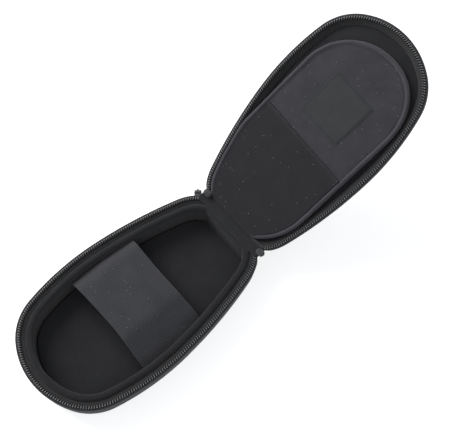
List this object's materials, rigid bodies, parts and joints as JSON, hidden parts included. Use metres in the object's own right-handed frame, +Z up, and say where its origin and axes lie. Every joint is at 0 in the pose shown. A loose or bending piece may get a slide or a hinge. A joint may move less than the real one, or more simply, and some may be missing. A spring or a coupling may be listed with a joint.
{
  "type": "harmonica case",
  "caption": "Soft zip-round harmonica case lying open, with a padded base and elastic strap, and a shallow lid holding a padded panel with a flat pocket.",
  "frame": {"origin": "middle of the base's flat underside, under the middle of its length", "axes": "+X from the fabric hinge to the base's nose, +Z up out of the open base, Y across"},
  "size_m": [0.374, 0.119, 0.1304],
  "materials": {
    "shell_cloth": "matte",
    "lining_cloth": "matte",
    "binding_cloth": "matte",
    "tape_cloth": "matte",
    "coil_nylon": "satin",
    "strap_elastic": "matte",
    "panel_cloth": "matte",
    "label_cloth": "matte",
    "lip_cloth": "matte",
    "pocket_cloth": "matte",
    "slider_metal": "satin"
  },
  "bodies": {
    "base": {"base_shell": "shell_cloth", "base_wall_pad": "lining_cloth", "base_lip_binding": "lip_cloth", "base_floor_pad": "lining_cloth", "base_zip_tape": "tape_cloth", "base_zip_coil": "coil_nylon", "elastic_strap": "strap_elastic", "hinge_cloth_base": "shell_cloth", "hinge_lining_base": "lining_cloth", "zip_end_left": "tape_cloth", "zip_end_right": "tape_cloth", "zip_slider": "slider_metal"},
    "lid": {"lid_shell": "shell_cloth", "lid_wall_pad": "lining_cloth", "lid_lining": "lining_cloth", "lid_zip_tape": "tape_cloth", "lid_zip_coil": "coil_nylon", "hinge_cloth_lid": "shell_cloth", "hinge_lining_lid": "lining_cloth", "panel_board": "panel_cloth", "panel_binding": "binding_cloth", "panel_pocket": "pocket_cloth", "pocket_hem": "pocket_cloth", "label_patch": "label_cloth"},
    "pull": {"zip_pull": "slider_metal"}
  },
  "joints": [
    {"name": "lid_hinge", "type": "hinge", "parent": "base", "child": "lid", "pos_m": [-0.09975, 0, 0.027], "axis": [0, 1, 0], "range_deg": [-31.6, 148.4]},
    {"name": "pull_swing", "type": "hinge", "parent": "base", "child": "pull", "pos_m": [-0.09982, -0.04156, 0.0195], "axis": [-0.7547, 0.6561, 0], "range_deg": [0, 150]}
  ]
}
